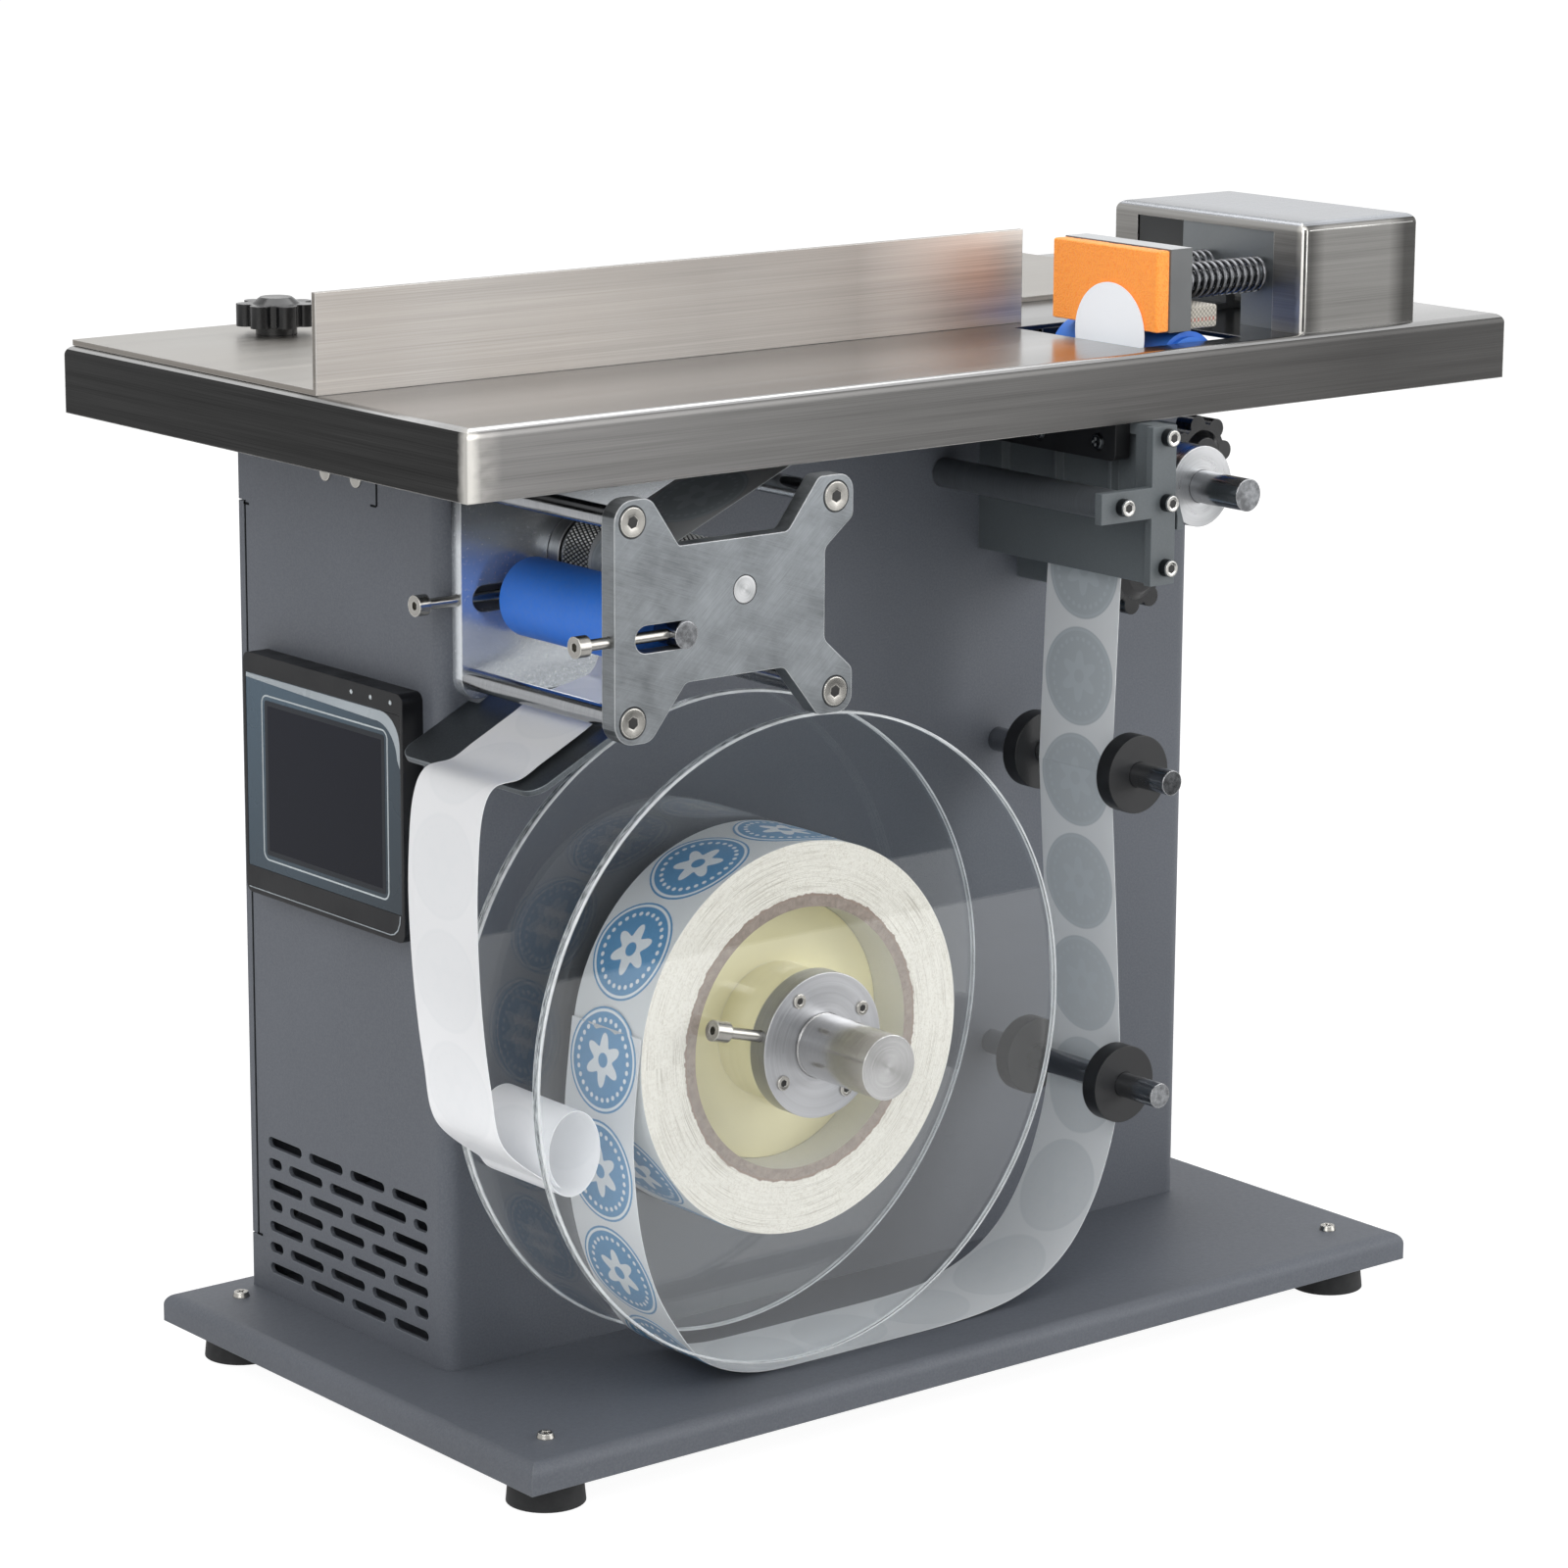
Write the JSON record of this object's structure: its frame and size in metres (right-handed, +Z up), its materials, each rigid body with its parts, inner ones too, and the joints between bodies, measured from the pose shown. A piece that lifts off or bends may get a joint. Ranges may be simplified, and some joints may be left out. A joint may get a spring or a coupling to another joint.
{
  "type": "label_applicator",
  "caption": "Bench-top label applicator: stainless table with a clamp-down fence, sprung foam presser in a hood, clear-disc label reel, web guides and a nip drive on a powder-coated cabinet",
  "frame": {"origin": "on the bench plane under the middle of the bounding box, level with the soles of the four rubber feet", "axes": "+X along the machine from the operator panel's end to the presser's end, +Y from the label reel's side to the rear cover, +Z up"},
  "size_m": [0.415, 0.2432, 0.3589],
  "materials": {
    "powder_coated_steel": "fine-textured slate powder coat",
    "brushed_stainless": "brushed stainless steel",
    "bare_aluminium": "turned or blasted aluminium",
    "bright_steel": "polished steel",
    "dark_steel": "blackened steel",
    "blue_rubber": "matte blue rubber",
    "black_plastic": "black moulded plastic",
    "panel_glass": "printed film behind glass",
    "black_rubber": "matte black rubber",
    "clear_acrylic": "clear acrylic with polished edges",
    "cream_plastic": "pale cream moulded plastic",
    "brown_board": "grey-brown cardboard",
    "roll_paper": "wound label paper, seen edge-on",
    "liner_paper": "translucent silicone liner",
    "orange_foam": "open orange foam",
    "grey_plate": "matte grey plate",
    "woven_webbing": "woven off-white webbing",
    "plated_box": "zinc-plated sheet",
    "green_board": "coated circuit board"
  },
  "bodies": {
    "frame": {"base_plate": "powder_coated_steel", "feet": "black_rubber", "pan_screws": "bright_steel", "cabinet_shell": "powder_coated_steel", "rear_cover": "powder_coated_steel", "table_top": "brushed_stainless", "drive_back_plate": "bare_aluminium", "drive_front_plate": "bare_aluminium", "standoff_rods": "bright_steel", "frame_screws": "bright_steel", "drive_motor": "dark_steel", "power_supply": "plated_box", "control_board": "green_board", "power_inlet": "black_plastic", "panel_housing": "black_plastic", "panel_glass": "panel_glass", "chute_plate": "dark_steel", "waste_liner": "liner_paper", "label_web": "liner_paper", "dispensed_label": "liner_paper", "guide_rods": "bright_steel", "rear_guide_collars": "black_plastic", "bracket_side_plate": "powder_coated_steel", "bracket_front_plate": "powder_coated_steel", "tie_bar": "dark_steel", "label_sensor": "black_plastic", "knob_brackets": "powder_coated_steel", "peel_plate": "bright_steel", "roller_cradles": "brushed_stainless", "hood": "brushed_stainless", "guide_block": "bare_aluminium", "trigger_sensor": "black_plastic", "reel_bearing": "bare_aluminium"},
    "fence_body": {"fence": "brushed_stainless", "clamp_nuts": "bright_steel"},
    "left_fence_knob": {"fence_knob_left": "black_plastic"},
    "right_fence_knob": {"fence_knob_right": "black_plastic"},
    "presser": {"presser_plate": "grey_plate", "presser_rods": "bright_steel", "presser_springs": "dark_steel", "sponge_pad": "orange_foam", "bumper_pad": "woven_webbing"},
    "knurled_roller": {"drive_roller": "bright_steel"},
    "pinch_carriage": {"pinch_shaft": "bright_steel", "adjusting_screws": "bright_steel"},
    "pinch_rubber": {"pinch_roller": "blue_rubber"},
    "reel": {"reel_shaft": "bright_steel", "reel_discs": "clear_acrylic", "spool_hub": "cream_plastic", "paper_core": "brown_board", "label_roll": "roll_paper", "clamp_collars": "bare_aluminium", "thumb_screws": "bright_steel"},
    "upper_guide_collar": {"front_collar_upper": "black_plastic"},
    "lower_guide_collar": {"front_collar_lower": "black_plastic"},
    "bracket_roller": {"guide_roller": "bare_aluminium"},
    "upper_bracket_knob": {"bracket_knob_upper": "black_plastic"},
    "lower_bracket_knob": {"bracket_knob_lower": "black_plastic"},
    "opening_roller": {"table_roller": "blue_rubber"},
    "power_rocker": {"rocker_switch": "black_plastic"}
  },
  "joints": [
    {"name": "fence_slide", "type": "slide", "parent": "frame", "child": "fence_body", "axis": [0, 1, 0], "range_m": [-0.015, 0.015]},
    {"name": "left_fence_knob_turn", "type": "hinge", "parent": "fence_body", "child": "left_fence_knob", "pos_m": [-0.148, 0.09315, 0.33], "axis": [0, 0, 1], "range_deg": [0, 270]},
    {"name": "right_fence_knob_turn", "type": "hinge", "parent": "fence_body", "child": "right_fence_knob", "pos_m": [0.168, 0.04215, 0.33], "axis": [0, 0, 1], "range_deg": [0, 270]},
    {"name": "presser_slide", "type": "slide", "parent": "frame", "child": "presser", "axis": [1, 0, 0], "range_m": [0, 0.02], "stiffness_N_per_m": 120, "springref_m": -0.004, "deforming": ["presser_springs"]},
    {"name": "drive_spin", "type": "hinge", "parent": "frame", "child": "knurled_roller", "pos_m": [-0.1175, -0.06285, 0.2704], "axis": [0, -1, 0], "continuous": true},
    {"name": "pinch_slide", "type": "slide", "parent": "frame", "child": "pinch_carriage", "axis": [-1, 0, 0], "range_m": [0, 0.013]},
    {"name": "pinch_spin", "type": "hinge", "parent": "pinch_carriage", "child": "pinch_rubber", "pos_m": [-0.13985, -0.06285, 0.25988], "axis": [0, -1, 0], "continuous": true},
    {"name": "reel_spin", "type": "hinge", "parent": "frame", "child": "reel", "pos_m": [-0.0765, -0.06285, 0.124], "axis": [0, -1, 0], "continuous": true},
    {"name": "upper_collar_slide", "type": "slide", "parent": "frame", "child": "upper_guide_collar", "axis": [0, -1, 0], "range_m": [0, 0.012]},
    {"name": "lower_collar_slide", "type": "slide", "parent": "frame", "child": "lower_guide_collar", "axis": [0, -1, 0], "range_m": [0, 0.012]},
    {"name": "guide_roller_spin", "type": "hinge", "parent": "frame", "child": "bracket_roller", "pos_m": [0.0694, -0.06085, 0.2808], "axis": [0, -1, 0], "continuous": true},
    {"name": "upper_bracket_knob_turn", "type": "hinge", "parent": "frame", "child": "upper_bracket_knob", "pos_m": [0.097, -0.06485, 0.285], "axis": [0, -1, 0], "range_deg": [0, 270]},
    {"name": "lower_bracket_knob_turn", "type": "hinge", "parent": "frame", "child": "lower_bracket_knob", "pos_m": [0.069, -0.06485, 0.2485], "axis": [0, -1, 0], "range_deg": [0, 270]},
    {"name": "table_roller_spin", "type": "hinge", "parent": "frame", "child": "opening_roller", "pos_m": [0.0772, -0.05485, 0.314], "axis": [0, -1, 0], "continuous": true},
    {"name": "rocker_turn", "type": "hinge", "parent": "frame", "child": "power_rocker", "pos_m": [-0.0915, 0.08935, 0.071], "axis": [1, 0, 0], "range_deg": [0, 20]}
  ],
  "couplings": [
    {"joint": "pinch_spin", "follows": "drive_spin", "ratio": -1}
  ]
}
